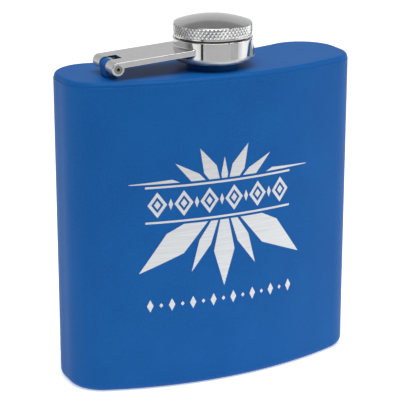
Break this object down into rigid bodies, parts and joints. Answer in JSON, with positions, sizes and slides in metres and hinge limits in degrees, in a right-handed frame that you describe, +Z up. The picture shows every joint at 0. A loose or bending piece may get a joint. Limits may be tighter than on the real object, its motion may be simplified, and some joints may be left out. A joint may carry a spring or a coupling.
{
  "type": "hip flask",
  "caption": "Curved pocket flask with a hollow back, a threaded neck, and a knurled screw cap held captive in the collar of a hinged arm.",
  "frame": {"origin": "on the resting plane, under the centre of the body's footprint", "axes": "+Z up through the neck, front face towards -Y, width along X with the hinge towards -X"},
  "size_m": [0.09, 0.0332, 0.1067],
  "materials": {
    "powder_coat": "fine-textured matte blue powder coat on stainless steel",
    "neck_coat": "blue powder coat on the ring, bare steel thread and bore",
    "bracket_coat": "matte blue powder coat",
    "pin_steel": "bright drawn steel",
    "arm_metal": "polished bright casting",
    "ring_steel": "bright spring steel",
    "cap_steel": "polished dome over a diamond-knurled band",
    "insert_plastic": "moulded, slightly satin",
    "gasket": "matte food-grade silicone"
  },
  "bodies": {
    "flask": {"body_shell": "powder_coat", "base_plate": "powder_coat", "shoulder_plate": "powder_coat", "neck": "neck_coat", "hinge_bracket": "bracket_coat"},
    "arm": {"swing_arm": "arm_metal", "hinge_pin": "pin_steel"},
    "retainer": {"retainer_ring": "ring_steel"},
    "cap": {"cap_shell": "cap_steel", "cap_insert": "insert_plastic", "cap_gasket": "gasket"}
  },
  "joints": [
    {"name": "arm_swing", "type": "hinge", "parent": "flask", "child": "arm", "pos_m": [-0.0323, -0.00284, 0.09535], "axis": [0, -1, 0], "range_deg": [0, 175]},
    {"name": "cap_rise", "type": "slide", "parent": "arm", "child": "retainer", "axis": [0, 0, 1], "range_m": [0, 0.0036]},
    {"name": "cap_turn", "type": "hinge", "parent": "retainer", "child": "cap", "pos_m": [0, -0.00284, 0.09535], "axis": [0, 0, 1], "range_deg": [0, 720]}
  ],
  "couplings": [
    {"joint": "cap_rise", "follows": "cap_turn", "m_per_rad": 0.00028648}
  ]
}
